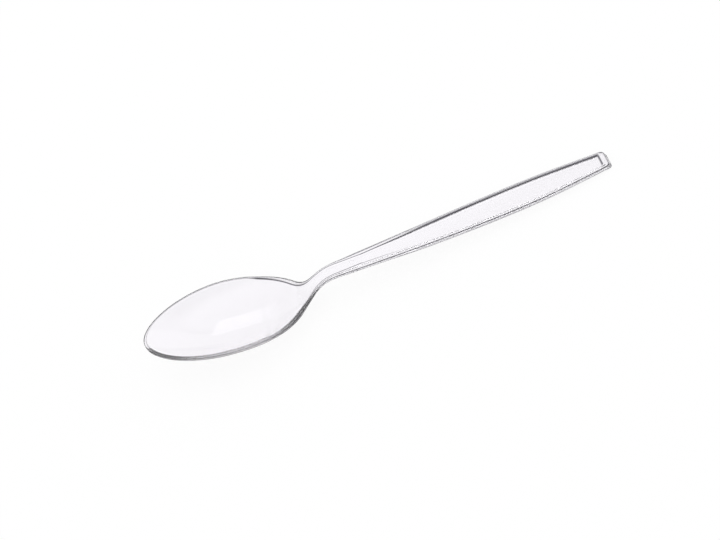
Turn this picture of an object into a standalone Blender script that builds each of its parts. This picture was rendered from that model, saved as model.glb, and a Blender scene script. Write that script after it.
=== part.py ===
"""Clear disposable spoon, moulded in one piece, lying on its bowl and its handle end.

The spoon is one half-plan grid that is bent over the moulding's edge line, given its
thickness by an extrusion and mirrored. +X runs from the bowl's tip to the handle's end.
"""
import bpy
import bmesh
import math
import numpy as np
from mathutils import Matrix, Vector
from mathutils.geometry import interpolate_bezier

MM = 0.001

# Plan: places along the spoon, measured from the tip of the bowl, and half-widths there
LENGTH = 167.0
BOWL_WIDEST_AT = 29.5
BOWL_HALF_WIDTH = 18.1
SHOULDER_AT = 54.0
SHOULDER_HALF_WIDTH = 8.7
SHOULDER_ANGLE = math.radians(49.0)
NECK_AT = 64.0
NECK_HALF_WIDTH = 3.55
PANEL_START = 78.2
PANEL_START_HALF_WIDTH = 4.2
PANEL_RAMP = 0.8
HANDLE_WIDEST_AT = 133.0
HANDLE_HALF_WIDTH = 6.15
END_HALF_WIDTH = 4.15
END_CORNER = 1.5
END_LIP = 0.8
END_LIP_RUN = 2.5

# Side view: the top edge's height above the level of the bowl's rim
RIM_AT_TIP = 0.85
RIM_HIGH_AT = 26.0
RIM_HIGH = 0.4
RIM_LOW = -1.6
BEND_LENGTH = 16.0
BEND_HEIGHT = 4.5
END_HEIGHT = 12.3
BEND_END = SHOULDER_AT + BEND_LENGTH

# Bowl
BOWL_DEPTH = 8.0
BOWL_ROUNDNESS = 2.3
BOWL_FLOOR_THICKNESS = 1.3
BOWL_FADE_START = SHOULDER_AT + 1.0
BOWL_FADE_END = NECK_AT + 2.0

# Side wall: its height at the bowl, the neck and the handle
RIM_HEIGHT = 0.9
NECK_HEIGHT = 1.2
HANDLE_HEIGHT = 1.8
HANDLE_RISE_RUN = 26.0

# Border: width of its flat top, and the drop and the run of the slope inside it
RIM_BORDER = 0.9
SHOULDER_BORDER = 1.7
NECK_BORDER = 1.1
PANEL_START_BORDER = 2.0
HANDLE_BORDER = 1.5
END_BORDER = 2.0
BORDER_SLOPE = 0.5
END_SLOPE = 1.1
SHOULDER_STEP = 0.7
PANEL_START_STEP = 0.2
PANEL_STEP = 0.6
SHOULDER_STEP_START = SHOULDER_AT - 15.5
SHOULDER_STEP_FULL = SHOULDER_AT - 11.0
SHOULDER_STEP_END = NECK_AT - 3.0

# Ejector mark: a shallow round recess before the panel
MARK_BEFORE_PANEL = 2.8
MARK_RADIUS = 0.85
MARK_DEPTH = 0.2
MARK_SIDES = 20

# Mesh: steps along each stretch of the outline, and rows from the border to the middle
TIP_STEPS = 15
SIDE_STEPS = 12
NECK_STEPS = 9
BEND_STEPS = 6
HANDLE_STEPS = 14
TAPER_STEPS = 10
CORNER_STEPS = 4
END_STEPS = 2
FLOOR_ROWS = 8
ROW_CROWDING = 1.25
PROFILE_STEPS = 40

# Middle line that the rows close on, kept inside the panel's end
SPINE_START = 9.0
SPINE_FROM_END = 4.3
SPINE_TURN = 1.4


def curve(start, start_handle, end_handle, end, steps):
    """Points of one cubic curve in a plane, both ends included."""
    corners = [Vector((x, y, 0.0)) for x, y in (start, start_handle, end_handle, end)]
    return [(p.x, p.y) for p in interpolate_bezier(*corners, steps + 1)]


def joined(stretches):
    """One run of points from curves that meet end to end."""
    points = list(stretches[0])
    for stretch in stretches[1:]:
        points += stretch[1:]
    return points


def smooth_step(start, end, value):
    """Rise from 0 at start to 1 at end, level at both."""
    share = min(max((value - start) / (end - start), 0.0), 1.0)
    return share * share * (3.0 - 2.0 * share)


def between(start, end, share):
    return start + (end - start) * share


def outline(rim_inset, shoulder_inset, neck_inset, panel_inset, handle_inset, end_inset):
    """Half of the plan outline from the tip to the middle of the end, moved inwards."""
    wide = BOWL_HALF_WIDTH - rim_inset
    along = Vector((math.cos(SHOULDER_ANGLE), -math.sin(SHOULDER_ANGLE)))
    inwards = Vector((-math.sin(SHOULDER_ANGLE), -math.cos(SHOULDER_ANGLE)))
    shoulder = Vector((SHOULDER_AT, SHOULDER_HALF_WIDTH)) + inwards * shoulder_inset
    side_run = SHOULDER_AT - BOWL_WIDEST_AT
    neck_run = NECK_AT - SHOULDER_AT
    neck = NECK_HALF_WIDTH - neck_inset
    panel = PANEL_START_HALF_WIDTH - panel_inset
    panel_at = PANEL_START + PANEL_RAMP
    broad = HANDLE_HALF_WIDTH - handle_inset
    panel_side = between(panel, broad, 0.02)
    end_x = LENGTH - end_inset
    end_side = END_HALF_WIDTH - handle_inset
    corner = max(END_CORNER - 0.5 * end_inset, 0.4)
    corner_x = end_x - corner
    end_half = end_side - corner
    return joined([
        curve((rim_inset, 0.0), (rim_inset, 0.5 * wide), (0.5 * BOWL_WIDEST_AT, wide),
              (BOWL_WIDEST_AT, wide), TIP_STEPS),
        curve((BOWL_WIDEST_AT, wide), (BOWL_WIDEST_AT + 0.43 * side_run, wide),
              shoulder - along * 0.29 * side_run, shoulder, SIDE_STEPS),
        curve(shoulder, shoulder + along * 0.38 * neck_run, (NECK_AT - 0.55 * neck_run, neck),
              (NECK_AT, neck), NECK_STEPS),
        curve((NECK_AT, neck), (between(NECK_AT, PANEL_START, 0.38), neck),
              (between(NECK_AT, PANEL_START, 0.66), between(neck, panel, 0.6)),
              (PANEL_START, panel), BEND_STEPS),
        curve((PANEL_START, panel), (PANEL_START, panel), (panel_at, panel_side),
              (panel_at, panel_side), 1),
        curve((panel_at, panel_side), (between(panel_at, HANDLE_WIDEST_AT, 0.26),
              between(panel, broad, 0.38)), (between(panel_at, HANDLE_WIDEST_AT, 0.61), broad),
              (HANDLE_WIDEST_AT, broad), HANDLE_STEPS),
        curve((HANDLE_WIDEST_AT, broad), (between(HANDLE_WIDEST_AT, corner_x, 0.43), broad),
              (between(HANDLE_WIDEST_AT, corner_x, 0.72), between(end_side, broad, 0.38)),
              (corner_x, end_side), TAPER_STEPS),
        curve((corner_x, end_side), (corner_x + 0.55 * corner, end_side - 0.05 * corner),
              (end_x, end_half + 0.45 * corner), (end_x, end_half), CORNER_STEPS),
        curve((end_x, end_half), (end_x, 0.66 * end_half), (end_x, 0.33 * end_half),
              (end_x, 0.0), END_STEPS),
    ])


def spine():
    """Places on the middle line that the outline's points are joined to."""
    spine_end = LENGTH - SPINE_FROM_END
    turn = spine_end - SPINE_TURN
    knots = [
        (SPINE_START, BOWL_WIDEST_AT, TIP_STEPS),
        (BOWL_WIDEST_AT, SHOULDER_AT, SIDE_STEPS),
        (SHOULDER_AT, NECK_AT, NECK_STEPS),
        (NECK_AT, PANEL_START, BEND_STEPS),
        (PANEL_START, PANEL_START + PANEL_RAMP, 1),
        (PANEL_START + PANEL_RAMP, HANDLE_WIDEST_AT, HANDLE_STEPS),
        (HANDLE_WIDEST_AT, turn, TAPER_STEPS),
        (turn, spine_end, CORNER_STEPS + END_STEPS),
    ]
    return joined([[(between(start, end, i / steps), 0.0) for i in range(steps + 1)]
                   for start, end, steps in knots])


def plan_rows():
    """Rows of the half plan: edge, border top, border foot, then on to the middle line."""
    edge = outline(0.0, 0.0, 0.0, 0.0, 0.0, 0.0)
    border = outline(RIM_BORDER, SHOULDER_BORDER, NECK_BORDER, PANEL_START_BORDER,
                     HANDLE_BORDER, END_BORDER)
    foot = outline(RIM_BORDER + BORDER_SLOPE, SHOULDER_BORDER + BORDER_SLOPE,
                   NECK_BORDER + BORDER_SLOPE, PANEL_START_BORDER + BORDER_SLOPE,
                   HANDLE_BORDER + BORDER_SLOPE, END_BORDER + END_SLOPE)
    rows = [edge, border, foot]
    middle = spine()
    for row in range(1, FLOOR_ROWS + 1):
        share = (row / FLOOR_ROWS) ** ROW_CROWDING
        rows.append([(between(outer[0], inner[0], share), outer[1] * (1.0 - share))
                     for outer, inner in zip(foot, middle)])
    return rows


def edge_line():
    """Side view of the top edge: level bowl rim, bend at the neck, rising handle."""
    sag_run = SHOULDER_AT - RIM_HIGH_AT
    handle_run = LENGTH - BEND_END
    rise = END_HEIGHT - BEND_HEIGHT
    return np.array(joined([
        curve((0.0, RIM_AT_TIP), (0.33 * RIM_HIGH_AT, RIM_AT_TIP + 0.1),
              (0.67 * RIM_HIGH_AT, RIM_HIGH + 0.3), (RIM_HIGH_AT, RIM_HIGH), PROFILE_STEPS),
        curve((RIM_HIGH_AT, RIM_HIGH), (RIM_HIGH_AT + 0.32 * sag_run, RIM_HIGH - 0.35),
              (RIM_HIGH_AT + 0.6 * sag_run, RIM_LOW), (SHOULDER_AT, RIM_LOW), PROFILE_STEPS),
        curve((SHOULDER_AT, RIM_LOW), (SHOULDER_AT + 0.38 * BEND_LENGTH, RIM_LOW),
              (SHOULDER_AT + 0.42 * BEND_LENGTH, BEND_HEIGHT - 0.15), (BEND_END, BEND_HEIGHT),
              PROFILE_STEPS),
        curve((BEND_END, BEND_HEIGHT), (BEND_END + 0.26 * handle_run, BEND_HEIGHT + 0.17 * rise),
              (BEND_END + 0.67 * handle_run, BEND_HEIGHT + 0.53 * rise), (LENGTH, END_HEIGHT),
              PROFILE_STEPS),
    ]))


EDGE_LINE = edge_line()


def edge_height(x):
    return float(np.interp(x, EDGE_LINE[:, 0], EDGE_LINE[:, 1]))


def wall_height(x):
    """Height of the outer side wall, thin at the bowl and full along the handle."""
    to_neck = smooth_step(BOWL_WIDEST_AT, SHOULDER_AT, x)
    to_handle = smooth_step(PANEL_START, PANEL_START + HANDLE_RISE_RUN, x)
    height = between(RIM_HEIGHT, NECK_HEIGHT, to_neck)
    return between(height, HANDLE_HEIGHT, to_handle)


def step_height(x):
    """Drop from the border to the surface inside it."""
    shoulder = smooth_step(SHOULDER_STEP_START, SHOULDER_STEP_FULL, x)
    shoulder -= smooth_step(SHOULDER_AT, SHOULDER_STEP_END, x)
    panel = smooth_step(PANEL_START, PANEL_START + PANEL_RAMP, x)
    deepening = smooth_step(PANEL_START, PANEL_START + HANDLE_RISE_RUN, x)
    return SHOULDER_STEP * shoulder + between(PANEL_START_STEP, PANEL_STEP, deepening) * panel


def hollow(x, y, row):
    """Share of the bowl's depth at a place, 0 on the given outline row and about 1 deepest."""
    half = float(np.interp(x, row[:, 0], row[:, 1]))
    inside = max(half * half - y * y, 0.0) / row[:, 1].max() ** 2
    fade = 1.0 - smooth_step(BOWL_FADE_START, BOWL_FADE_END, x)
    return fade * (1.0 - (1.0 - min(inside, 1.0)) ** (0.5 * BOWL_ROUNDNESS))


def up_to_neck(row):
    """The stretch of an outline row that bounds the bowl."""
    return np.array([p for p in row if p[0] <= BOWL_FADE_END])


def top_height(x, y, row_index, foot):
    if row_index < 2:
        return edge_height(x)
    return edge_height(x) - step_height(x) - BOWL_DEPTH * hollow(x, y, foot)


def under_height(x, y, edge):
    deep = BOWL_DEPTH + BOWL_FLOOR_THICKNESS - RIM_HEIGHT
    return edge_height(x) - wall_height(x) - deep * hollow(x, y, edge)


def half_spoon():
    """Half of the moulding as a mesh that is open at the middle plane."""
    rows = plan_rows()
    edge = up_to_neck(rows[0])
    foot = up_to_neck(rows[2])
    columns = len(rows[0])
    mesh = bmesh.new()
    bmesh.ops.create_grid(mesh, x_segments=columns - 1, y_segments=len(rows) - 1, size=0.5)
    for vertex in mesh.verts:
        column = round((vertex.co.x + 0.5) * (columns - 1))
        row_index = round((vertex.co.y + 0.5) * (len(rows) - 1))
        x, y = rows[row_index][column]
        vertex.co = (x, y, top_height(x, y, row_index, foot))
    region = bmesh.ops.extrude_face_region(mesh, geom=list(mesh.faces), use_keep_orig=True)
    for vertex in (item for item in region["geom"] if isinstance(item, bmesh.types.BMVert)):
        x, y = vertex.co.x, vertex.co.y
        vertex.co.z = under_height(x, y, edge)
        vertex.co.x = x + END_LIP * smooth_step(LENGTH - END_LIP_RUN, LENGTH, x)
    middle = [face for face in mesh.faces if all(abs(v.co.y) < 1e-6 for v in face.verts)]
    bmesh.ops.delete(mesh, geom=middle, context="FACES")
    bmesh.ops.recalc_face_normals(mesh, faces=mesh.faces)
    mesh.transform(Matrix.Scale(MM, 4))
    return mesh


def resting_tilt(mesh):
    """Angle about Y that brings the bowl's underside and the handle's end to one level."""
    low_end = min((v.co for v in mesh.verts if v.co.x > (LENGTH - 0.01) * MM), key=lambda p: p.z)
    bowl = [v.co for v in mesh.verts if v.co.x < SHOULDER_AT * MM]
    return max(math.atan2(low_end.z - p.z, low_end.x - p.x) for p in bowl)


def resting_place(mesh):
    """Matrix that lays the half on its supports, its box's bottom centre at the origin."""
    turn = Matrix.Rotation(resting_tilt(mesh), 4, "Y")
    turned = [turn @ vertex.co for vertex in mesh.verts]
    middle = 0.5 * (min(p.x for p in turned) + max(p.x for p in turned))
    floor = min(p.z for p in turned)
    return Matrix.Translation((-middle, 0.0, -floor)) @ turn


def clear_plastic():
    material = bpy.data.materials.new("clear_plastic")
    material.use_nodes = True
    shader = material.node_tree.nodes["Principled BSDF"]
    shader.inputs["Base Color"].default_value = (0.93, 0.92, 0.99, 1.0)
    shader.inputs["Roughness"].default_value = 0.05
    shader.inputs["Metallic"].default_value = 0.0
    shader.inputs["IOR"].default_value = 1.59
    shader.inputs["Transmission Weight"].default_value = 1.0
    return material


def add_mark_cutter(collection, rest):
    """Round cutter that stands square to the top surface, sunk by the mark's depth."""
    x = PANEL_START - MARK_BEFORE_PANEL
    slope = math.atan(edge_height(x + 0.5) - edge_height(x - 0.5))
    on_surface = Matrix.Translation((x * MM, 0.0, edge_height(x) * MM))
    square = on_surface @ Matrix.Rotation(-slope, 4, "Y")
    centre = square @ Matrix.Translation((0.0, 0.0, (MARK_RADIUS - MARK_DEPTH) * MM))
    mesh = bmesh.new()
    bmesh.ops.create_cone(mesh, cap_ends=True, segments=MARK_SIDES, radius1=MARK_RADIUS * MM,
                          radius2=MARK_RADIUS * MM, depth=2.0 * MARK_RADIUS * MM,
                          matrix=rest @ centre)
    data = bpy.data.meshes.new("mark_cutter")
    mesh.to_mesh(data)
    mesh.free()
    cutter = bpy.data.objects.new("mark_cutter", data)
    cutter.hide_render = True
    cutter.display_type = "WIRE"
    collection.objects.link(cutter)
    return cutter


def add_spoon(parts, cutters):
    mesh = half_spoon()
    rest = resting_place(mesh)
    mesh.transform(rest)
    data = bpy.data.meshes.new("spoon")
    mesh.to_mesh(data)
    mesh.free()
    data.materials.append(clear_plastic())
    data.shade_smooth()
    data.set_sharp_from_angle(angle=math.radians(30.0))
    spoon = bpy.data.objects.new("spoon", data)
    parts.objects.link(spoon)
    mirror = spoon.modifiers.new("other_half", "MIRROR")
    mirror.use_axis = (False, True, False)
    mirror.merge_threshold = 0.00001
    mark = spoon.modifiers.new("ejector_mark", "BOOLEAN")
    mark.operation = "DIFFERENCE"
    mark.object = add_mark_cutter(cutters, rest)


def main():
    for old in list(bpy.data.objects):
        bpy.data.objects.remove(old, do_unlink=True)
    parts = bpy.data.collections.new("clear_spoon")
    cutters = bpy.data.collections.new("cutters")
    bpy.context.scene.collection.children.link(parts)
    bpy.context.scene.collection.children.link(cutters)
    add_spoon(parts, cutters)


main()
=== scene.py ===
"""Clear moulded spoon on a white studio floor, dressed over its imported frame.

The spoon's surface is grown by one Geometry Nodes tree from a plan of its outline, in
millimetres and in the moulding's own frame, and is then laid down as the frame lies.
"""
import bpy
import bmesh
import math
import numpy as np
from mathutils import Matrix, Vector
from mathutils.geometry import interpolate_bezier


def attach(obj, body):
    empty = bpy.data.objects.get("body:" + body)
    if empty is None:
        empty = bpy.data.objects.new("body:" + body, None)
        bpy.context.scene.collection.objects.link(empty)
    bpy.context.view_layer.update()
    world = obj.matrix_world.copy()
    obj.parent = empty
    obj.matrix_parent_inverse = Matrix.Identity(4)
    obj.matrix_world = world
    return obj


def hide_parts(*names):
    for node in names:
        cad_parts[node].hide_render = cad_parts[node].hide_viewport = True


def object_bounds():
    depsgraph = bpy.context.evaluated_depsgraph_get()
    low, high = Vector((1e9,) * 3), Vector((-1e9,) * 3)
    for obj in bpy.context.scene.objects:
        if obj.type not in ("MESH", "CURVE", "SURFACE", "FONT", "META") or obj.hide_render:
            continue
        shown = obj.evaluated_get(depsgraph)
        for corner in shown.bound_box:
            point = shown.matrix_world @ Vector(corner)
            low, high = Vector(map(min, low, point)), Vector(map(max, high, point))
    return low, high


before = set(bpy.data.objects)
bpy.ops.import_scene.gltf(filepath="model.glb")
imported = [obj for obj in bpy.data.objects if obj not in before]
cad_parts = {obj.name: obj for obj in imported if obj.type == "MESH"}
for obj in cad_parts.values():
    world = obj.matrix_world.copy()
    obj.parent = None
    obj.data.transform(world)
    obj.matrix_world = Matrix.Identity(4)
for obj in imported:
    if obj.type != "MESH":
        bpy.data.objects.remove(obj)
CAD_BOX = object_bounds()
MM = 0.001

# Plan: places along the spoon from the tip of the bowl, and half-widths there, in mm
LENGTH = 167.0
BOWL_WIDEST_AT = 29.5
BOWL_HALF_WIDTH = 18.1
SHOULDER_AT = 54.0
SHOULDER_HALF_WIDTH = 8.7
SHOULDER_ANGLE = math.radians(49.0)
NECK_AT = 64.0
NECK_HALF_WIDTH = 3.55
PANEL_START = 78.2
PANEL_START_HALF_WIDTH = 4.2
PANEL_RAMP = 0.8
HANDLE_WIDEST_AT = 133.0
HANDLE_HALF_WIDTH = 6.15
END_HALF_WIDTH = 4.15
END_CORNER = 1.5
END_LIP = 0.8
END_LIP_RUN = 2.5

# Side view: the top edge's height above the level of the bowl's rim
RIM_AT_TIP = 0.85
RIM_HIGH_AT = 26.0
RIM_HIGH = 0.4
RIM_LOW = -1.6
BEND_LENGTH = 16.0
BEND_HEIGHT = 4.5
END_HEIGHT = 12.3
BEND_END = SHOULDER_AT + BEND_LENGTH

# Bowl
BOWL_DEPTH = 8.0
BOWL_ROUNDNESS = 2.3
BOWL_FLOOR_THICKNESS = 1.3
BOWL_FADE_START = SHOULDER_AT + 1.0
BOWL_FADE_END = NECK_AT + 2.0

# Side wall: its height at the bowl, the neck and the handle
RIM_HEIGHT = 0.9
NECK_HEIGHT = 1.2
HANDLE_HEIGHT = 1.8
HANDLE_RISE_RUN = 26.0

# Border: width of its flat top, and the drop and the run of the slope inside it
RIM_BORDER = 0.9
SHOULDER_BORDER = 1.7
NECK_BORDER = 1.1
PANEL_START_BORDER = 2.0
HANDLE_BORDER = 1.5
END_BORDER = 2.0
BORDER_SLOPE = 0.5
END_SLOPE = 1.1
SHOULDER_STEP = 0.7
PANEL_START_STEP = 0.2
PANEL_STEP = 0.6
SHOULDER_STEP_START = SHOULDER_AT - 15.5
SHOULDER_STEP_FULL = SHOULDER_AT - 11.0
SHOULDER_STEP_END = NECK_AT - 3.0
# Border's cross-section, by place across it: crown outside, groove, crest, fall to the foot
TOP_CROWN = 0.1
UNDER_CROWN = 0.12
CROWN_PLACE = 0.2
CROWN_POWER = 1.8
GROOVE_DEPTH = 0.2
GROOVE_PLACE = 0.42
CREST_PLACE = 0.64
FALL_PLACE = 0.72
FALL_SHARE = 0.46

# Ejector mark: a shallow round recess before the panel
MARK_AT = PANEL_START - 2.8
MARK_RADIUS = 0.85
MARK_DEPTH = 0.2
MARK_SIDES = 64

# Fine mesh: steps along each stretch of the outline, and rows across
TIP_STEPS = 54
SIDE_STEPS = 40
NECK_STEPS = 34
BEND_STEPS = 24
RAMP_STEPS = 4
HANDLE_STEPS = 48
TAPER_STEPS = 34
CORNER_STEPS = 10
END_STEPS = 6
BORDER_PLACES = (0.0, 0.02, 0.05, 0.09, 0.14, 0.2, 0.27, 0.34, 0.42, 0.46, 0.5, 0.54, 0.58, 0.64,
                 0.72, 0.79, 0.86, 0.93, 1.0)
SLOPE_ROWS = 5
FLOOR_ROWS = 20
ROW_CROWDING = 1.25
PROFILE_STEPS = 120
SPINE_START = 9.0
SPINE_FROM_END = 4.3
SPINE_TURN = 1.4

# Painted shade lines along the edges: their run in from the outer edge and about the border's inner
# edge, as places across the border and as a share of the slope, and the marks between which the painted
# shade grows dark
OUTER_SHADE_PLACE = 0.6
INNER_SHADE_PLACE = 0.42
INNER_SHADE_SLOPE = 1.0
INNER_SHADE_STRENGTH = 0.9
SHADE_START = 0.5
SHADE_FULL = 0.95

# Rest: the turn about Y that the frame's spoon lies at
RESTING_TILT = math.radians(8.862)

# Floor: the part of its white that is lit, and so can take a shadow
PAPER_LIT = 0.1

# Lamp, in metres and watts
SOFTBOX_PLACE = Vector((-0.04, 0.55, 1.0))
SOFTBOX_AIM = Vector((-0.04, 0.0, 0.0))
SOFTBOX_SIZE = 0.62
SOFTBOX_POWER = 0.8

# Studio round the spoon: strengths, with the degrees above the floor between which they change
STUDIO_LIGHT = 0.95
BACKDROP_FOOT = 0.7
BACKDROP_WHITE = 1.0
BACKDROP_CLEARS = (0.0, 16.0)
BACKDROP_ENDS = (46.0, 54.0)
CAMERA_SIDE = 0.4
FLANKS = 0.7
CEILING = 1.0
CEILING_STARTS = (48.0, 60.0)

# Steps that light is followed for inside the clear wall
LIGHT_STEPS = 24

# Photograph: camera in the moulding's frame, mm and degrees
CAMERA_AIM = Vector((77.1, -0.9, 1.0))
CAMERA_DISTANCE = 600.0
CAMERA_ELEVATION = math.radians(42.0)
CAMERA_ROLL = math.radians(18.97)
CAMERA_LENS = 88.9


def linear(code):
    """Linear colour of an sRGB hex code such as 'F4F2FF'."""
    channels = [int(code[i:i + 2], 16) / 255.0 for i in (0, 2, 4)]
    return [c / 12.92 if c <= 0.04045 else ((c + 0.055) / 1.055) ** 2.4 for c in channels] + [1.0]


def add_node(tree, kind, settings=None, inputs=None):
    """Add one node; settings are its own properties, inputs are values or sockets to link."""
    node = tree.nodes.new(kind)
    for name, value in (settings or {}).items():
        setattr(node, name, value)
    for key, value in (inputs or {}).items():
        socket = node.inputs[key]
        if isinstance(value, bpy.types.NodeSocket):
            tree.links.new(value, socket)
        else:
            socket.default_value = value
    return node


# Plan of the spoon

def curve(start, start_handle, end_handle, end, steps):
    """Points of one cubic curve in a plane, both ends included."""
    corners = [Vector((x, y, 0.0)) for x, y in (start, start_handle, end_handle, end)]
    return [(p.x, p.y) for p in interpolate_bezier(*corners, steps + 1)]


def joined(stretches):
    """One run of points from curves that meet end to end."""
    points = list(stretches[0])
    for stretch in stretches[1:]:
        points += stretch[1:]
    return points


def between(start, end, share):
    return start + (end - start) * share


def outline(rim_inset, shoulder_inset, neck_inset, panel_inset, handle_inset, end_inset):
    """Half of the plan outline from the tip to the middle of the end, moved inwards."""
    wide = BOWL_HALF_WIDTH - rim_inset
    along = Vector((math.cos(SHOULDER_ANGLE), -math.sin(SHOULDER_ANGLE)))
    inwards = Vector((-math.sin(SHOULDER_ANGLE), -math.cos(SHOULDER_ANGLE)))
    shoulder = Vector((SHOULDER_AT, SHOULDER_HALF_WIDTH)) + inwards * shoulder_inset
    side_run = SHOULDER_AT - BOWL_WIDEST_AT
    neck_run = NECK_AT - SHOULDER_AT
    neck = NECK_HALF_WIDTH - neck_inset
    panel = PANEL_START_HALF_WIDTH - panel_inset
    panel_at = PANEL_START + PANEL_RAMP
    broad = HANDLE_HALF_WIDTH - handle_inset
    panel_side = between(panel, broad, 0.02)
    end_x = LENGTH - end_inset
    end_side = END_HALF_WIDTH - handle_inset
    corner = max(END_CORNER - 0.5 * end_inset, 0.4)
    corner_x = end_x - corner
    end_half = end_side - corner
    return joined([
        curve((rim_inset, 0.0), (rim_inset, 0.5 * wide), (0.5 * BOWL_WIDEST_AT, wide),
              (BOWL_WIDEST_AT, wide), TIP_STEPS),
        curve((BOWL_WIDEST_AT, wide), (BOWL_WIDEST_AT + 0.43 * side_run, wide),
              shoulder - along * 0.29 * side_run, shoulder, SIDE_STEPS),
        curve(shoulder, shoulder + along * 0.38 * neck_run, (NECK_AT - 0.55 * neck_run, neck),
              (NECK_AT, neck), NECK_STEPS),
        curve((NECK_AT, neck), (between(NECK_AT, PANEL_START, 0.38), neck),
              (between(NECK_AT, PANEL_START, 0.66), between(neck, panel, 0.6)),
              (PANEL_START, panel), BEND_STEPS),
        curve((PANEL_START, panel), (between(PANEL_START, panel_at, 0.33), panel),
              (between(PANEL_START, panel_at, 0.67), panel_side), (panel_at, panel_side),
              RAMP_STEPS),
        curve((panel_at, panel_side), (between(panel_at, HANDLE_WIDEST_AT, 0.26),
              between(panel, broad, 0.38)), (between(panel_at, HANDLE_WIDEST_AT, 0.61), broad),
              (HANDLE_WIDEST_AT, broad), HANDLE_STEPS),
        curve((HANDLE_WIDEST_AT, broad), (between(HANDLE_WIDEST_AT, corner_x, 0.43), broad),
              (between(HANDLE_WIDEST_AT, corner_x, 0.72), between(end_side, broad, 0.38)),
              (corner_x, end_side), TAPER_STEPS),
        curve((corner_x, end_side), (corner_x + 0.55 * corner, end_side - 0.05 * corner),
              (end_x, end_half + 0.45 * corner), (end_x, end_half), CORNER_STEPS),
        curve((end_x, end_half), (end_x, 0.66 * end_half), (end_x, 0.33 * end_half),
              (end_x, 0.0), END_STEPS),
    ])


def spine():
    """Places on the middle line that the outline's points are joined to."""
    spine_end = LENGTH - SPINE_FROM_END
    turn = spine_end - SPINE_TURN
    knots = [
        (SPINE_START, BOWL_WIDEST_AT, TIP_STEPS),
        (BOWL_WIDEST_AT, SHOULDER_AT, SIDE_STEPS),
        (SHOULDER_AT, NECK_AT, NECK_STEPS),
        (NECK_AT, PANEL_START, BEND_STEPS),
        (PANEL_START, PANEL_START + PANEL_RAMP, RAMP_STEPS),
        (PANEL_START + PANEL_RAMP, HANDLE_WIDEST_AT, HANDLE_STEPS),
        (HANDLE_WIDEST_AT, turn, TAPER_STEPS),
        (turn, spine_end, CORNER_STEPS + END_STEPS),
    ]
    return joined([[(between(start, end, i / steps), 0.0) for i in range(steps + 1)]
                   for start, end, steps in knots])


def border_row(share):
    """Outline part of the way across the border's flat top, from the edge inwards."""
    return outline(RIM_BORDER * share, SHOULDER_BORDER * share, NECK_BORDER * share,
                   PANEL_START_BORDER * share, HANDLE_BORDER * share, END_BORDER * share)


def slope_row(share):
    """Outline part of the way down the slope inside the border."""
    slope = BORDER_SLOPE * share
    return outline(RIM_BORDER + slope, SHOULDER_BORDER + slope, NECK_BORDER + slope,
                   PANEL_START_BORDER + slope, HANDLE_BORDER + slope,
                   END_BORDER + END_SLOPE * share)


def smooth_step(start, end, value):
    share = min(max((value - start) / (end - start), 0.0), 1.0)
    return share * share * (3.0 - 2.0 * share)


def plan_rows():
    """Rows of the half plan as (points, crown, groove, fall to the foot, top and under painted shade
    lines).
    """
    rows = []
    for place in BORDER_PLACES:
        crown = max(1.0 - place / CROWN_PLACE, 0.0) ** CROWN_POWER
        groove = 1.0 - smooth_step(GROOVE_PLACE, CREST_PLACE, place)
        fall = FALL_SHARE * max((place - FALL_PLACE) / (1.0 - FALL_PLACE), 0.0)
        # How dark the painted shade lines are: fullest at the outer edge and at the border's inner edge
        outer = max(1.0 - place / OUTER_SHADE_PLACE, 0.0)
        inner = INNER_SHADE_STRENGTH * max(1.0 - (1.0 - place) / INNER_SHADE_PLACE, 0.0)
        rows.append((border_row(place), crown, groove, smooth_step(0.0, 1.0, fall),
                     max(outer, inner), outer))
    for step in range(1, SLOPE_ROWS + 1):
        fall = between(FALL_SHARE, 1.0, step / SLOPE_ROWS)
        inner = INNER_SHADE_STRENGTH * max(1.0 - step / SLOPE_ROWS / INNER_SHADE_SLOPE, 0.0)
        rows.append((slope_row(step / SLOPE_ROWS), 0.0, 0.0, smooth_step(0.0, 1.0, fall),
                     inner, 0.0))
    foot = rows[-1][0]
    middle = spine()
    for step in range(1, FLOOR_ROWS + 1):
        share = (step / FLOOR_ROWS) ** ROW_CROWDING
        points = [(between(outer[0], inner[0], share), outer[1] * (1.0 - share))
                  for outer, inner in zip(foot, middle)]
        rows.append((points, 0.0, 0.0, 1.0, 0.0, 0.0))
    return rows


def edge_line():
    """Side view of the top edge: level bowl rim, bend at the neck, rising handle."""
    sag_run = SHOULDER_AT - RIM_HIGH_AT
    handle_run = LENGTH - BEND_END
    rise = END_HEIGHT - BEND_HEIGHT
    return np.array(joined([
        curve((0.0, RIM_AT_TIP), (0.33 * RIM_HIGH_AT, RIM_AT_TIP + 0.1),
              (0.67 * RIM_HIGH_AT, RIM_HIGH + 0.3), (RIM_HIGH_AT, RIM_HIGH), PROFILE_STEPS),
        curve((RIM_HIGH_AT, RIM_HIGH), (RIM_HIGH_AT + 0.32 * sag_run, RIM_HIGH - 0.35),
              (RIM_HIGH_AT + 0.6 * sag_run, RIM_LOW), (SHOULDER_AT, RIM_LOW), PROFILE_STEPS),
        curve((SHOULDER_AT, RIM_LOW), (SHOULDER_AT + 0.38 * BEND_LENGTH, RIM_LOW),
              (SHOULDER_AT + 0.42 * BEND_LENGTH, BEND_HEIGHT - 0.15), (BEND_END, BEND_HEIGHT),
              PROFILE_STEPS),
        curve((BEND_END, BEND_HEIGHT), (BEND_END + 0.26 * handle_run, BEND_HEIGHT + 0.17 * rise),
              (BEND_END + 0.67 * handle_run, BEND_HEIGHT + 0.53 * rise), (LENGTH, END_HEIGHT),
              PROFILE_STEPS),
    ]))


def up_to_neck(row):
    """The stretch of an outline row that bounds the bowl."""
    return np.array([p for p in row if p[0] <= BOWL_FADE_END])


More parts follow.
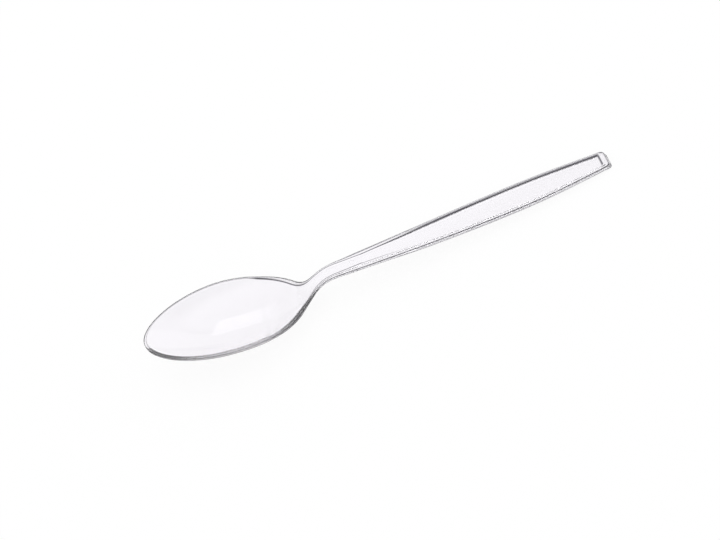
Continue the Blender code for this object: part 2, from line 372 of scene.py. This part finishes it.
def half_plan():
    """Flat half of the plan as a grid whose points carry what the tree needs to know."""
    rows = plan_rows()
    line = edge_line()
    edge = up_to_neck(rows[0][0])
    foot = up_to_neck(rows[len(BORDER_PLACES) + SLOPE_ROWS - 1][0])
    columns = len(rows[0][0])
    mesh = bmesh.new()
    bmesh.ops.create_grid(mesh, x_segments=columns - 1, y_segments=len(rows) - 1, size=0.5)
    layers = {name: mesh.verts.layers.float.new(name)
              for name in ("edge_height", "edge_half", "foot_half", "crown", "groove", "fall",
                           "top_shade_line", "under_shade_line")}
    for vertex in mesh.verts:
        column = round((vertex.co.x + 0.5) * (columns - 1))
        row = rows[round((vertex.co.y + 0.5) * (len(rows) - 1))]
        points = row[0]
        x, y = points[column]
        vertex.co = (x, y, 0.0)
        vertex[layers["edge_height"]] = np.interp(x, line[:, 0], line[:, 1])
        vertex[layers["edge_half"]] = np.interp(x, edge[:, 0], edge[:, 1])
        vertex[layers["foot_half"]] = np.interp(x, foot[:, 0], foot[:, 1])
        for name, value in zip(("crown", "groove", "fall", "top_shade_line", "under_shade_line"), row[1:]):
            vertex[layers[name]] = value
    bmesh.ops.recalc_face_normals(mesh, faces=mesh.faces)
    if sum(face.normal.z for face in mesh.faces) < 0.0:
        bmesh.ops.reverse_faces(mesh, faces=mesh.faces)
    data = bpy.data.meshes.new("half_plan")
    mesh.to_mesh(data)
    mesh.free()
    return data


# Moulding tree: heights, side wall and second half

TREE_SIZES = {
    "Bowl Depth": BOWL_DEPTH,
    "Bowl Roundness": BOWL_ROUNDNESS,
    "Bowl Half Width": BOWL_HALF_WIDTH,
    "Foot Half Width": BOWL_HALF_WIDTH - RIM_BORDER - BORDER_SLOPE,
    "Under Depth": BOWL_DEPTH + BOWL_FLOOR_THICKNESS - RIM_HEIGHT,
    "Rim Height": RIM_HEIGHT,
    "Neck Height": NECK_HEIGHT,
    "Handle Height": HANDLE_HEIGHT,
    "Shoulder Step": SHOULDER_STEP,
    "Panel Start Step": PANEL_START_STEP,
    "Panel Step": PANEL_STEP,
    "Top Crown": TOP_CROWN,
    "Under Crown": UNDER_CROWN,
    "Groove Depth": GROOVE_DEPTH,
    "End Lip": END_LIP,
}


def moulding_tree(material):
    """Tree that raises the half plan into a closed spoon; all its sizes are in mm."""
    tree = bpy.data.node_groups.new("moulding", "GeometryNodeTree")
    tree.interface.new_socket("Plan", in_out="INPUT", socket_type="NodeSocketGeometry")
    for name, value in TREE_SIZES.items():
        socket = tree.interface.new_socket(name, in_out="INPUT", socket_type="NodeSocketFloat")
        socket.default_value = value
    tree.interface.new_socket("Spoon", in_out="OUTPUT", socket_type="NodeSocketGeometry")
    given = tree.nodes.new("NodeGroupInput").outputs
    position = add_node(tree, "GeometryNodeInputPosition").outputs[0]
    along, across = add_node(tree, "ShaderNodeSeparateXYZ", {}, {0: position}).outputs[:2]

    def calc(operation, first, second=0.0, third=0.0):
        node = add_node(tree, "ShaderNodeMath", {"operation": operation},
                        {0: first, 1: second, 2: third})
        return node.outputs[0]

    def carried(name):
        return add_node(tree, "GeometryNodeInputNamedAttribute", {"data_type": "FLOAT"},
                        {"Name": name}).outputs[0]

    def with_painted_shade(geometry, value):
        """Geometry with its painted edge shade: 1 on a top shade line, -1 on an under one, 0 away from
        both.
        """
        return add_node(tree, "GeometryNodeStoreNamedAttribute",
                        {"data_type": "FLOAT", "domain": "POINT"},
                        {"Geometry": geometry, "Name": "painted_edge_shade", "Value": value}).outputs[0]

    def rise(start, end, low=0.0, high=1.0):
        node = add_node(tree, "ShaderNodeMapRange", {"interpolation_type": "SMOOTHSTEP"},
                        {0: along, 1: start, 2: end, 3: low, 4: high})
        return node.outputs[0]

    def hollow(half, half_width):
        inside = calc("SUBTRACT", calc("MULTIPLY", half, half), calc("MULTIPLY", across, across))
        share = calc("DIVIDE", inside, calc("MULTIPLY", half_width, half_width))
        kept = calc("SUBTRACT", 1.0, calc("MINIMUM", calc("MAXIMUM", share, 0.0), 1.0))
        power = calc("MULTIPLY", given["Bowl Roundness"], 0.5)
        depth = calc("SUBTRACT", 1.0, calc("POWER", kept, power))
        return calc("MULTIPLY", depth, rise(BOWL_FADE_START, BOWL_FADE_END, 1.0, 0.0))

    shoulder = calc("SUBTRACT", rise(SHOULDER_STEP_START, SHOULDER_STEP_FULL),
                    rise(SHOULDER_AT, SHOULDER_STEP_END))
    deepening = rise(PANEL_START, PANEL_START + HANDLE_RISE_RUN,
                     given["Panel Start Step"], given["Panel Step"])
    panel = calc("MULTIPLY", deepening, rise(PANEL_START, PANEL_START + PANEL_RAMP))
    step = calc("ADD", calc("MULTIPLY", shoulder, given["Shoulder Step"]), panel)

    to_neck = rise(BOWL_WIDEST_AT, SHOULDER_AT, given["Rim Height"], given["Neck Height"])
    to_handle = rise(PANEL_START, PANEL_START + HANDLE_RISE_RUN, 0.0,
                     calc("SUBTRACT", given["Handle Height"], given["Neck Height"]))
    wall = calc("ADD", to_neck, to_handle)

    # Crowns round off shares of the wall; the groove fades out along the bowl's rim
    top_crown = calc("MULTIPLY", calc("MULTIPLY", wall, given["Top Crown"]), carried("crown"))
    under_crown = calc("MULTIPLY", calc("MULTIPLY", wall, given["Under Crown"]), carried("crown"))
    under_crown = calc("MULTIPLY", under_crown, rise(LENGTH - END_LIP_RUN, LENGTH, 1.0, 0.0))
    past_bowl = rise(SHOULDER_STEP_START, SHOULDER_STEP_FULL)
    groove = calc("MULTIPLY", calc("MULTIPLY", past_bowl, carried("groove")),
                  given["Groove Depth"])

    edge_height = carried("edge_height")
    top = calc("SUBTRACT", edge_height, calc("MULTIPLY", step, carried("fall")))
    top = calc("SUBTRACT", top, calc("MULTIPLY", given["Bowl Depth"],
                                     hollow(carried("foot_half"), given["Foot Half Width"])))
    top = calc("SUBTRACT", calc("SUBTRACT", top, top_crown), groove)
    under = calc("SUBTRACT", edge_height, wall)
    under = calc("SUBTRACT", under, calc("MULTIPLY", given["Under Depth"],
                                         hollow(carried("edge_half"), given["Bowl Half Width"])))
    under = calc("ADD", under, under_crown)
    lipped = calc("ADD", along, rise(LENGTH - END_LIP_RUN, LENGTH, 0.0, given["End Lip"]))

    top_place = add_node(tree, "ShaderNodeCombineXYZ", {}, {0: along, 1: across, 2: top})
    under_place = add_node(tree, "ShaderNodeCombineXYZ", {}, {0: lipped, 1: across, 2: under})
    # Past the bowl the painted inner shade line lies on the slope too, and is fullest halfway down it
    falling = calc("MULTIPLY", carried("fall"), calc("SUBTRACT", 1.0, carried("fall")))
    slope_shade = calc("MULTIPLY", calc("MULTIPLY", past_bowl, falling), 4.0)
    top_shade = calc("MAXIMUM", carried("top_shade_line"), slope_shade)
    under_shade = calc("MULTIPLY", carried("under_shade_line"), -1.0)
    upper = add_node(tree, "GeometryNodeSetPosition", {},
                     {"Geometry": with_painted_shade(given["Plan"], top_shade),
                      "Position": top_place.outputs[0]})
    lower = add_node(tree, "GeometryNodeSetPosition", {},
                     {"Geometry": with_painted_shade(given["Plan"], under_shade),
                      "Position": under_place.outputs[0]})
    lower = add_node(tree, "GeometryNodeFlipFaces", {}, {"Mesh": lower.outputs[0]})
    on_edge = add_node(tree, "FunctionNodeCompare", {"data_type": "FLOAT",
                       "operation": "LESS_THAN"}, {0: calc("SUBTRACT", 1.0, carried("crown")), 1: 1e-5})
    wall_faces = add_node(tree, "GeometryNodeExtrudeMesh", {"mode": "EDGES"},
                          {"Mesh": upper.outputs[0], "Selection": on_edge.outputs[0],
                           "Offset Scale": 0.0})
    # The side wall takes the painted shade of its top and under edges
    wall_shade = add_node(tree, "GeometryNodeSwitch", {"input_type": "FLOAT"},
                         {"Switch": wall_faces.outputs["Top"], "False": top_shade,
                          "True": under_shade})
    walled = add_node(tree, "GeometryNodeSetPosition", {},
                      {"Geometry": with_painted_shade(wall_faces.outputs["Mesh"], wall_shade.outputs[0]),
                       "Selection": wall_faces.outputs["Top"],
                       "Position": under_place.outputs[0]})
    half = add_node(tree, "GeometryNodeJoinGeometry")
    tree.links.new(walled.outputs[0], half.inputs[0])
    tree.links.new(lower.outputs[0], half.inputs[0])
    other = add_node(tree, "GeometryNodeTransform", {},
                     {"Geometry": half.outputs[0], "Scale": (1.0, -1.0, 1.0)})
    other = add_node(tree, "GeometryNodeFlipFaces", {}, {"Mesh": other.outputs[0]})
    whole = add_node(tree, "GeometryNodeJoinGeometry")
    tree.links.new(half.outputs[0], whole.inputs[0])
    tree.links.new(other.outputs[0], whole.inputs[0])
    merged = add_node(tree, "GeometryNodeMergeByDistance", {},
                      {"Geometry": whole.outputs[0], "Distance": 1e-4})
    smooth = add_node(tree, "GeometryNodeSetShadeSmooth", {}, {"Geometry": merged.outputs[0]})
    real = add_node(tree, "GeometryNodeRealizeInstances", {}, {"Geometry": smooth.outputs[0]})
    finished = add_node(tree, "GeometryNodeSetMaterial", {},
                        {"Geometry": real.outputs[0], "Material": material})
    add_node(tree, "NodeGroupOutput", {}, {"Spoon": finished.outputs[0]})
    return tree


def evaluated_mesh(holder):
    """Plain mesh of an object with its modifiers applied."""
    graph = bpy.context.evaluated_depsgraph_get()
    return bpy.data.meshes.new_from_object(holder.evaluated_get(graph))


def resting_place(data):
    """Matrix from the moulding's mm to the frame's metres, as the frame's spoon lies.

    The tip's lower edge is the frame's first point and the bowl's underside its lowest.
    """
    turn = Matrix.Rotation(RESTING_TILT, 4, "Y")
    tip = turn @ Vector((0.0, 0.0, RIM_AT_TIP - RIM_HEIGHT))
    low = Vector((tip.x, 0.0, min((turn @ v.co).z for v in data.vertices)))
    corner = Vector((CAD_BOX[0][0], 0.0, CAD_BOX[0][2]))
    return Matrix.Translation(corner) @ Matrix.Scale(MM, 4) @ Matrix.Translation(-low) @ turn


def mark_cutter(material):
    """Round cutter that stands square to the top surface, sunk by the mark's depth."""
    line = edge_line()
    places = (MARK_AT - 0.5, MARK_AT, MARK_AT + 0.5)
    before, here, after = np.interp(places, line[:, 0], line[:, 1])
    lean = Matrix.Rotation(-math.atan(after - before), 4, "Y")
    square = Matrix.Translation((MARK_AT, 0.0, here)) @ lean
    centre = square @ Matrix.Translation((0.0, 0.0, MARK_RADIUS - MARK_DEPTH))
    mesh = bmesh.new()
    bmesh.ops.create_cone(mesh, cap_ends=True, segments=MARK_SIDES, radius1=MARK_RADIUS,
                          radius2=MARK_RADIUS, depth=2.0 * MARK_RADIUS, matrix=centre)
    data = bpy.data.meshes.new("mark_cutter")
    mesh.to_mesh(data)
    mesh.free()
    data.materials.append(material)
    return data


def fine_spoon(material):
    """The spoon's finished mesh, in the moulding's frame."""
    holder = bpy.data.objects.new("spoon_blank", half_plan())
    bpy.context.scene.collection.objects.link(holder)
    tree = moulding_tree(material)
    grow = holder.modifiers.new("moulding", "NODES")
    grow.node_group = tree
    for item in tree.interface.items_tree:
        if item.name in TREE_SIZES and item.in_out == "INPUT":
            grow[item.identifier] = TREE_SIZES[item.name]
    whole = evaluated_mesh(holder)
    holder.modifiers.clear()
    holder.data = whole
    cutter = bpy.data.objects.new("mark_cutter", mark_cutter(material))
    bpy.context.scene.collection.objects.link(cutter)
    cut = holder.modifiers.new("ejector_mark", "BOOLEAN")
    cut.operation = "DIFFERENCE"
    cut.object = cutter
    data = evaluated_mesh(holder)
    bpy.data.objects.remove(holder, do_unlink=True)
    bpy.data.objects.remove(cutter, do_unlink=True)
    mesh = bmesh.new()
    mesh.from_mesh(data)
    bmesh.ops.recalc_face_normals(mesh, faces=mesh.faces)
    # The cut leaves stray painted edge shade on the new faces; no edge lies within its radius
    painted_edge_shade = mesh.verts.layers.float["painted_edge_shade"]
    for vertex in mesh.verts:
        if math.hypot(vertex.co.x - MARK_AT, vertex.co.y) < 1.1 * MARK_RADIUS:
            vertex[painted_edge_shade] = 0.0
    mesh.to_mesh(data)
    mesh.free()
    return data


# Materials

def clear_polystyrene():
    """Crystal polystyrene from a polished mould: glass-clear, bright, faintly violet all over, with
    painted shade lines along its edges.
    """
    material = bpy.data.materials.new("clear_polystyrene")
    material.use_nodes = True
    tree = material.node_tree
    shader = tree.nodes["Principled BSDF"]
    # The blue-violet toner that hides the resin's yellow tints what is seen through it. Along the edges
    # the base colour is darkened to grey 302E36 as painted shade, in place of the dark refraction at
    # the edges
    mark = add_node(tree, "ShaderNodeAttribute", {"attribute_name": "painted_edge_shade"}).outputs["Fac"]
    size = add_node(tree, "ShaderNodeMath", {"operation": "ABSOLUTE"}, {0: mark})
    line = add_node(tree, "ShaderNodeMapRange", {"interpolation_type": "SMOOTHSTEP"},
                    {0: size.outputs[0], 1: SHADE_START, 2: SHADE_FULL})
    toner_and_edge_shade = add_node(tree, "ShaderNodeMix", {"data_type": "RGBA"},
                    {0: line.outputs[0], 6: linear("FDFBFF"), 7: linear("302E36")})
    tree.links.new(toner_and_edge_shade.outputs[2], shader.inputs["Base Color"])
    # Fine scuffs and the skin's haze scatter a little of the light
    shader.inputs["Transmission Weight"].default_value = 0.98
    shader.inputs["IOR"].default_value = 1.59
    place = add_node(tree, "ShaderNodeTexCoord").outputs["Object"]
    # Flow waves of the melt run across the handle, about 9 mm apart and very shallow
    waves = add_node(tree, "ShaderNodeTexNoise", {},
                     {"Vector": place, "Scale": 110.0, "Detail": 1.0, "Roughness": 0.4})
    bump = add_node(tree, "ShaderNodeBump", {}, {"Height": waves.outputs[0], "Strength": 0.05,
                                                 "Distance": 0.0002})
    tree.links.new(bump.outputs[0], shader.inputs["Normal"])
    # Polishing leaves a roughness that drifts a little over a few millimetres
    haze = add_node(tree, "ShaderNodeTexNoise", {}, {"Vector": place, "Scale": 260.0, "Detail": 2.0})
    rough = add_node(tree, "ShaderNodeMapRange", {}, {0: haze.outputs[0], 3: 0.05, 4: 0.1})
    tree.links.new(rough.outputs[0], shader.inputs["Roughness"])
    return material


def studio_white():
    """Seamless white paper. Most of its white is its own to the camera and the clear spoon, the
    rest is lit, so a faint shadow stays; the light it throws back is that of white paper."""
    material = bpy.data.materials.new("studio_white")
    material.use_nodes = True
    tree = material.node_tree
    paper = tree.nodes["Principled BSDF"]
    paper.inputs["Roughness"].default_value = 1.0
    paper.inputs["Specular IOR Level"].default_value = 0.0
    path = add_node(tree, "ShaderNodeLightPath").outputs
    shown = add_node(tree, "ShaderNodeMath", {"operation": "MAXIMUM"},
                     {0: path["Is Camera Ray"], 1: path["Is Glossy Ray"]})
    shown = add_node(tree, "ShaderNodeMath", {"operation": "MAXIMUM"},
                     {0: shown.outputs[0], 1: path["Is Transmission Ray"]})
    own = add_node(tree, "ShaderNodeMath", {"operation": "MULTIPLY"},
                   {0: shown.outputs[0], 1: 1.0 - PAPER_LIT})
    white = add_node(tree, "ShaderNodeMix", {"data_type": "RGBA"},
                     {0: shown.outputs[0], 6: linear("F5F5F5"), 7: [PAPER_LIT] * 3 + [1.0]})
    tree.links.new(white.outputs[2], paper.inputs["Base Color"])
    paper.inputs["Emission Color"].default_value = (1.0, 1.0, 1.0, 1.0)
    tree.links.new(own.outputs[0], paper.inputs["Emission Strength"])
    return material


def add_spoon():
    material = clear_polystyrene()
    data = fine_spoon(material)
    place = resting_place(data)
    data.transform(place)
    data.name = "clear_spoon"
    data.set_sharp_from_angle(angle=math.radians(50.0))
    spoon = bpy.data.objects.new("clear_spoon", data)
    bpy.context.scene.collection.objects.link(spoon)
    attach(spoon, "root")
    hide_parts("spoon")
    return place


def add_floor():
    mesh = bmesh.new()
    bmesh.ops.create_grid(mesh, x_segments=1, y_segments=1, size=3.0)
    data = bpy.data.meshes.new("floor")
    mesh.to_mesh(data)
    mesh.free()
    data.materials.append(studio_white())
    floor = bpy.data.objects.new("floor", data)
    floor.location = (0.0, 0.0, CAD_BOX[0][2])
    bpy.context.scene.collection.objects.link(floor)


def add_softbox():
    """Square soft lamp above and behind the spoon, turned to it."""
    lamp = bpy.data.lights.new("softbox", "AREA")
    lamp.shape = "SQUARE"
    lamp.size = SOFTBOX_SIZE
    lamp.energy = SOFTBOX_POWER
    holder = bpy.data.objects.new("softbox", lamp)
    holder.location = SOFTBOX_PLACE
    holder.rotation_euler = (SOFTBOX_AIM - SOFTBOX_PLACE).to_track_quat("-Z", "Y").to_euler()
    bpy.context.scene.collection.objects.link(holder)


def add_studio():
    """Pale room with a white backdrop, lit evenly, and plain white to the camera."""
    world = bpy.data.worlds.new("studio")
    bpy.context.scene.world = world
    world.use_nodes = True
    tree = world.node_tree
    place = add_node(tree, "ShaderNodeTexCoord").outputs["Generated"]
    axes = add_node(tree, "ShaderNodeSeparateXYZ", {}, {0: place}).outputs

    def fade(value, start, end, low, high):
        node = add_node(tree, "ShaderNodeMapRange", {"interpolation_type": "SMOOTHSTEP"},
                        {0: value, 1: start, 2: end, 3: low, 4: high})
        return node.outputs[0]

    def calc(operation, first, second):
        return add_node(tree, "ShaderNodeMath", {"operation": operation},
                        {0: first, 1: second}).outputs[0]

    def mixed(share, low, high):
        return add_node(tree, "ShaderNodeMix", {"data_type": "FLOAT"},
                        {0: share, 2: low, 3: high}).outputs[0]

    def upwards(angles, low, high):
        start, end = (math.sin(math.radians(angle)) for angle in angles)
        return fade(axes["Z"], start, end, low, high)

    # What the clear plastic shows: a white backdrop behind it, the darker camera side before it
    # and a pale ceiling; the darker parts help to draw its edges
    behind = fade(axes["Y"], 0.0, 0.35, 0.0, 1.0)
    backdrop = calc("MULTIPLY", upwards(BACKDROP_CLEARS, BACKDROP_FOOT, BACKDROP_WHITE),
                    upwards(BACKDROP_ENDS, 1.0, 0.0))
    before = fade(axes["Y"], -0.35, 0.0, CAMERA_SIDE, FLANKS)
    around = mixed(upwards(CEILING_STARTS, 0.0, 1.0), before, CEILING)
    room = calc("MAXIMUM", around, calc("MULTIPLY", behind, backdrop))
    path = add_node(tree, "ShaderNodeLightPath").outputs
    clear = calc("MAXIMUM", path["Is Glossy Ray"], path["Is Transmission Ray"])
    level = mixed(path["Is Camera Ray"], mixed(clear, STUDIO_LIGHT, room), 1.0)
    white = tree.nodes["Background"]
    white.inputs["Color"].default_value = (1.0, 1.0, 1.0, 1.0)
    tree.links.new(level, white.inputs["Strength"])


def add_camera(place):
    """The photograph's camera, set in the moulding's frame and carried to the resting one."""
    tall = CAMERA_ELEVATION
    back = Vector((0.0, -math.cos(tall), math.sin(tall)))
    upright = Vector((0.0, math.sin(tall), math.cos(tall)))
    level = Vector((1.0, 0.0, 0.0))
    right = level * math.cos(CAMERA_ROLL) - upright * math.sin(CAMERA_ROLL)
    up = level * math.sin(CAMERA_ROLL) + upright * math.cos(CAMERA_ROLL)
    turn = place.to_3x3().normalized()
    axes = Matrix((turn @ right, turn @ up, turn @ back)).transposed()
    lens = bpy.data.cameras.new("photo_camera")
    lens.lens = CAMERA_LENS
    lens.sensor_width = 36.0
    lens.clip_start = 0.01
    camera = bpy.data.objects.new("photo_camera", lens)
    spot = place @ (CAMERA_AIM + back * CAMERA_DISTANCE)
    camera.matrix_world = Matrix.Translation(spot) @ axes.to_4x4()
    bpy.context.scene.collection.objects.link(camera)
    bpy.context.scene.camera = camera


def allow_light_paths():
    """Follow light far enough to leave the spoon again after it is caught in the thin wall."""
    paths = bpy.context.scene.cycles
    paths.max_bounces = LIGHT_STEPS
    paths.glossy_bounces = LIGHT_STEPS // 2
    paths.transmission_bounces = LIGHT_STEPS // 2


spoon_place = add_spoon()
add_floor()
add_softbox()
add_studio()
add_camera(spoon_place)
allow_light_paths()
bpy.context.scene.view_settings.view_transform = "Standard"
